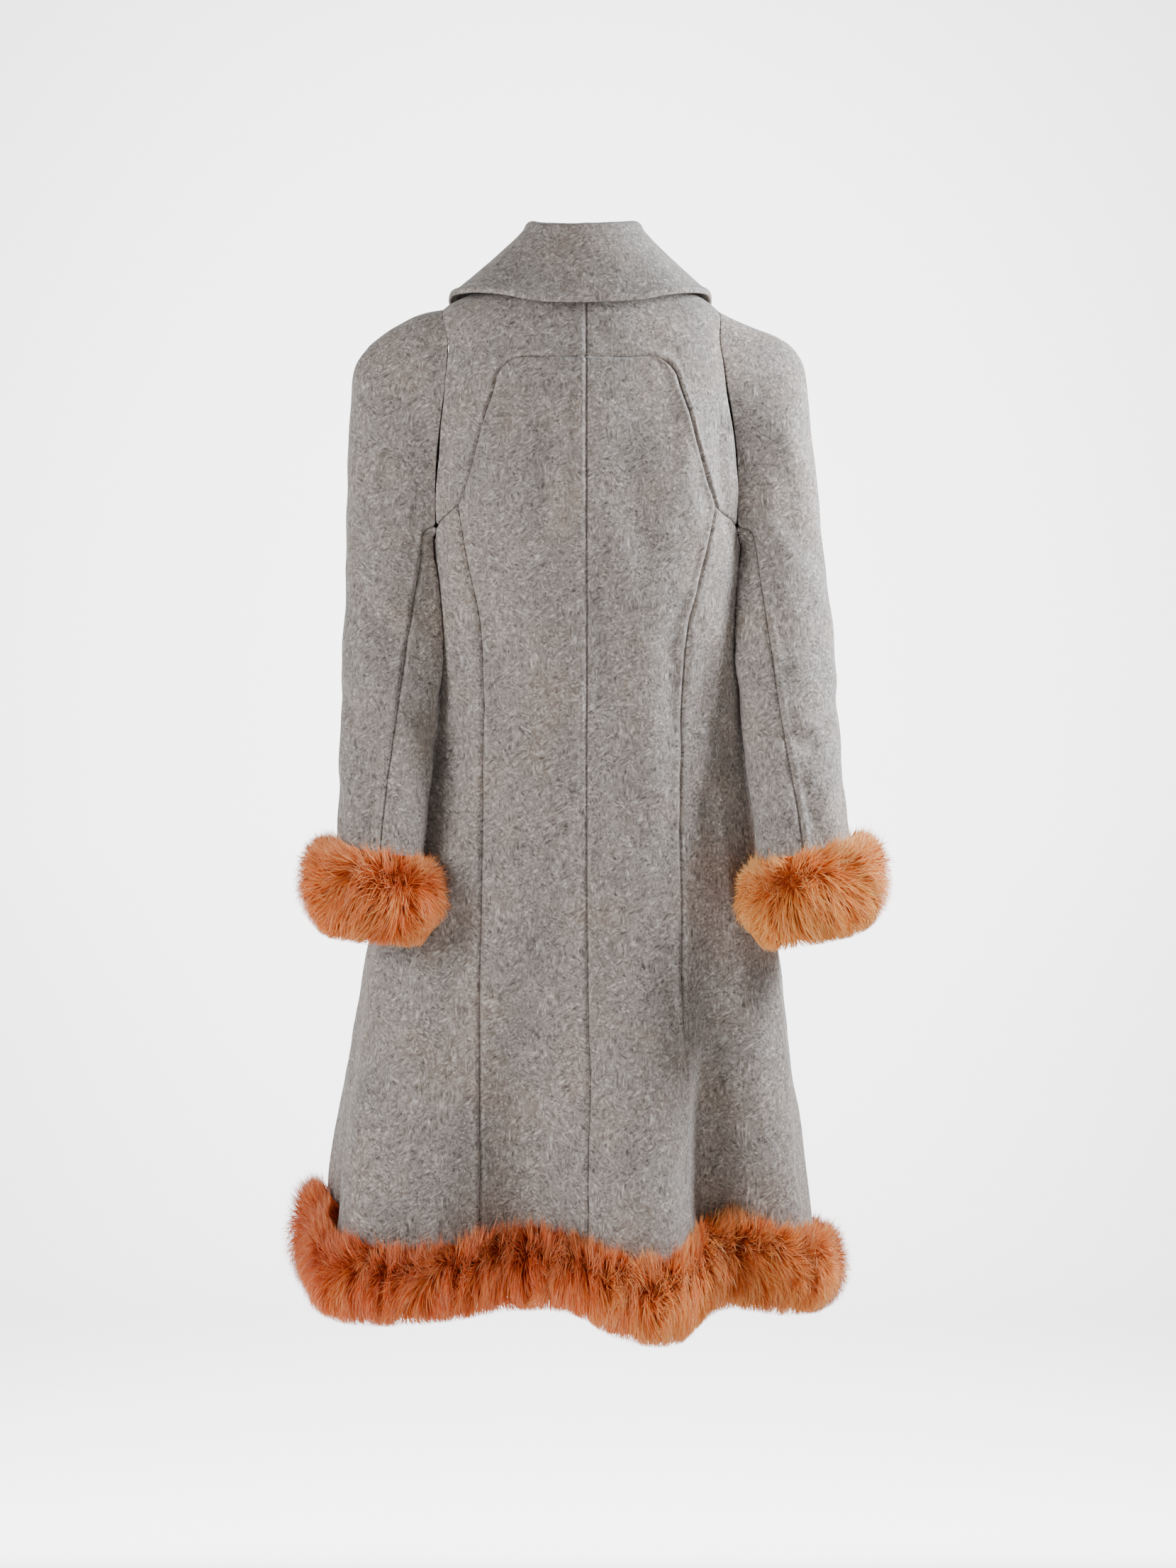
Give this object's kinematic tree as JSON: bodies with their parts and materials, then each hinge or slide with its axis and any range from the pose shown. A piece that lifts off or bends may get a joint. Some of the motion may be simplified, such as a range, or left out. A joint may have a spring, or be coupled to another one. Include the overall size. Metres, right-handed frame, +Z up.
{
  "type": "fur trimmed coat",
  "caption": "Long wool coat, fitted at the waist, with a flared skirt, a flat collar, and fur at the cuffs and hem.",
  "frame": {"origin": "middle of the neck, level with the back neck seam, where the wearer holds the coat up", "axes": "+Z up, the front faces -Y, the wearer's left is +X"},
  "size_m": [0.6113, 0.4035, 1.1081],
  "materials": {
    "grey_melange_wool": "thick napped melange wool, matt",
    "apricot_fur": "long soft fur, apricot with a darker root",
    "grey_horn": "polished horn"
  },
  "bodies": {
    "root": {"back_yoke_left": "grey_melange_wool", "back_yoke_right": "grey_melange_wool", "back_left": "grey_melange_wool", "back_right": "grey_melange_wool", "side_left": "grey_melange_wool", "side_right": "grey_melange_wool", "front_left": "grey_melange_wool", "front_right": "grey_melange_wool", "sleeve_top_left": "grey_melange_wool", "sleeve_top_right": "grey_melange_wool", "sleeve_under_left": "grey_melange_wool", "sleeve_under_right": "grey_melange_wool", "collar": "grey_melange_wool", "fur_cuff_left": "apricot_fur", "fur_cuff_right": "apricot_fur", "fur_hem": "apricot_fur", "button_1": "grey_horn", "button_2": "grey_horn", "button_3": "grey_horn", "button_4": "grey_horn", "button_5": "grey_horn"}
  },
  "joints": []
}
